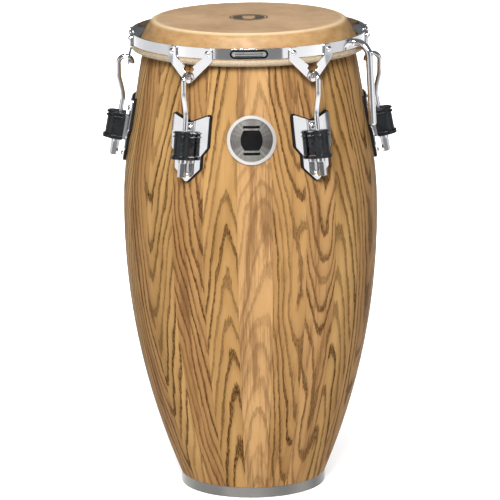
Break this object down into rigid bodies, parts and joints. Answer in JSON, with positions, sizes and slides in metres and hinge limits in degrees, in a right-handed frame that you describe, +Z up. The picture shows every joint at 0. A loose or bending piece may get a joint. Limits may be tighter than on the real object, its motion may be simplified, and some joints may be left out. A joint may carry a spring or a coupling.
{
  "type": "conga drum",
  "caption": "Tall barrel-shaped hand drum of wooden staves with a rawhide head, a flat chrome rim, hooked tuning lugs and an open foot.",
  "frame": {"origin": "on the drum's axis, on the plane that its bottom ring stands on", "axes": "+Z up along the drum's axis, from the open foot to the head; -Y is the front, with the badge"},
  "size_m": [0.472, 0.4162, 0.762],
  "materials": {
    "stave_wood": "satin lacquer",
    "rawhide": "matte",
    "chrome": "polished",
    "plain_steel": "satin",
    "ring_steel": "satin",
    "badge_steel": "brushed",
    "label_metal": "satin",
    "black_enamel": "gloss",
    "black_cover": "satin",
    "black_rubber": "matte"
  },
  "bodies": {
    "drum": {"shell_staves": "stave_wood", "bottom_ring": "ring_steel", "drumhead_skin": "rawhide", "flesh_hoop": "plain_steel", "badge_plate": "badge_steel", "badge_mark": "black_enamel", "plate_bolts": "chrome", "plate_bolt_washers": "plain_steel", "plate_bolt_nuts": "plain_steel", "lug_block_1": "plain_steel", "lug_cover_1": "black_cover", "side_plate_1": "chrome", "plate_gasket_1": "black_rubber", "lug_block_2": "plain_steel", "lug_cover_2": "black_cover", "side_plate_2": "chrome", "plate_gasket_2": "black_rubber", "lug_block_3": "plain_steel", "lug_cover_3": "black_cover", "side_plate_3": "chrome", "plate_gasket_3": "black_rubber", "lug_block_4": "plain_steel", "lug_cover_4": "black_cover", "side_plate_4": "chrome", "plate_gasket_4": "black_rubber", "lug_block_5": "plain_steel", "lug_cover_5": "black_cover", "side_plate_5": "chrome", "plate_gasket_5": "black_rubber", "lug_block_6": "plain_steel", "lug_cover_6": "black_cover", "side_plate_6": "chrome", "plate_gasket_6": "black_rubber"},
    "rim": {"rim_band": "chrome", "rim_label": "label_metal", "rim_rivets": "chrome", "guard_rod": "chrome", "guard_rod_nut": "plain_steel", "v_bracket_1": "chrome", "v_bracket_2": "chrome", "v_bracket_3": "chrome", "v_bracket_4": "chrome", "v_bracket_5": "chrome", "v_bracket_6": "chrome"},
    "lug_1": {"lug_hook_1": "chrome"},
    "nut_1": {"lug_nut_1": "chrome"},
    "lug_2": {"lug_hook_2": "chrome"},
    "nut_2": {"lug_nut_2": "chrome"},
    "lug_3": {"lug_hook_3": "chrome"},
    "nut_3": {"lug_nut_3": "chrome"},
    "lug_4": {"lug_hook_4": "chrome"},
    "nut_4": {"lug_nut_4": "chrome"},
    "lug_5": {"lug_hook_5": "chrome"},
    "nut_5": {"lug_nut_5": "chrome"},
    "lug_6": {"lug_hook_6": "chrome"},
    "nut_6": {"lug_nut_6": "chrome"}
  },
  "joints": [
    {"name": "nut_1_turn", "type": "hinge", "parent": "drum", "child": "nut_1", "pos_m": [-0.10069, -0.18017, 0.6133], "axis": [-0.0889, -0.1591, -0.9833], "range_deg": [0, 2160]},
    {"name": "nut_2_turn", "type": "hinge", "parent": "drum", "child": "nut_2", "pos_m": [0.10569, -0.17729, 0.6133], "axis": [0.0933, -0.1565, -0.9833], "range_deg": [0, 2160]},
    {"name": "nut_3_turn", "type": "hinge", "parent": "drum", "child": "nut_3", "pos_m": [0.20638, 0.00288, 0.6133], "axis": [0.1822, 0.0025, -0.9833], "range_deg": [0, 2160]},
    {"name": "nut_4_turn", "type": "hinge", "parent": "drum", "child": "nut_4", "pos_m": [0.10069, 0.18017, 0.6133], "axis": [0.0889, 0.1591, -0.9833], "range_deg": [0, 2160]},
    {"name": "nut_5_turn", "type": "hinge", "parent": "drum", "child": "nut_5", "pos_m": [-0.10569, 0.17729, 0.6133], "axis": [-0.0933, 0.1565, -0.9833], "range_deg": [0, 2160]},
    {"name": "nut_6_turn", "type": "hinge", "parent": "drum", "child": "nut_6", "pos_m": [-0.20638, -0.00288, 0.6133], "axis": [-0.1822, -0.0025, -0.9833], "range_deg": [0, 2160]},
    {"name": "rim_lift", "type": "slide", "parent": "drum", "child": "rim", "axis": [0, 0, 1], "range_m": [0, 0.0073]},
    {"name": "lug_1_slide", "type": "slide", "parent": "drum", "child": "lug_1", "axis": [0.0889, 0.1591, 0.9833], "range_m": [0, 0.0076]},
    {"name": "lug_2_slide", "type": "slide", "parent": "drum", "child": "lug_2", "axis": [-0.0933, 0.1565, 0.9833], "range_m": [0, 0.0076]},
    {"name": "lug_3_slide", "type": "slide", "parent": "drum", "child": "lug_3", "axis": [-0.1822, -0.0025, 0.9833], "range_m": [0, 0.0076]},
    {"name": "lug_4_slide", "type": "slide", "parent": "drum", "child": "lug_4", "axis": [-0.0889, -0.1591, 0.9833], "range_m": [0, 0.0076]},
    {"name": "lug_5_slide", "type": "slide", "parent": "drum", "child": "lug_5", "axis": [0.0933, -0.1565, 0.9833], "range_m": [0, 0.0076]},
    {"name": "lug_6_slide", "type": "slide", "parent": "drum", "child": "lug_6", "axis": [0.1822, 0.0025, 0.9833], "range_m": [0, 0.0076]}
  ],
  "couplings": [
    {"joint": "nut_1_turn", "follows": "rim_lift", "rad_per_m": 5112.2},
    {"joint": "nut_2_turn", "follows": "rim_lift", "rad_per_m": 5112.2},
    {"joint": "nut_3_turn", "follows": "rim_lift", "rad_per_m": 5112.2},
    {"joint": "nut_4_turn", "follows": "rim_lift", "rad_per_m": 5112.2},
    {"joint": "nut_5_turn", "follows": "rim_lift", "rad_per_m": 5112.2},
    {"joint": "nut_6_turn", "follows": "rim_lift", "rad_per_m": 5112.2},
    {"joint": "lug_1_slide", "follows": "rim_lift", "ratio": 1.017},
    {"joint": "lug_2_slide", "follows": "rim_lift", "ratio": 1.017},
    {"joint": "lug_3_slide", "follows": "rim_lift", "ratio": 1.017},
    {"joint": "lug_4_slide", "follows": "rim_lift", "ratio": 1.017},
    {"joint": "lug_5_slide", "follows": "rim_lift", "ratio": 1.017},
    {"joint": "lug_6_slide", "follows": "rim_lift", "ratio": 1.017}
  ]
}
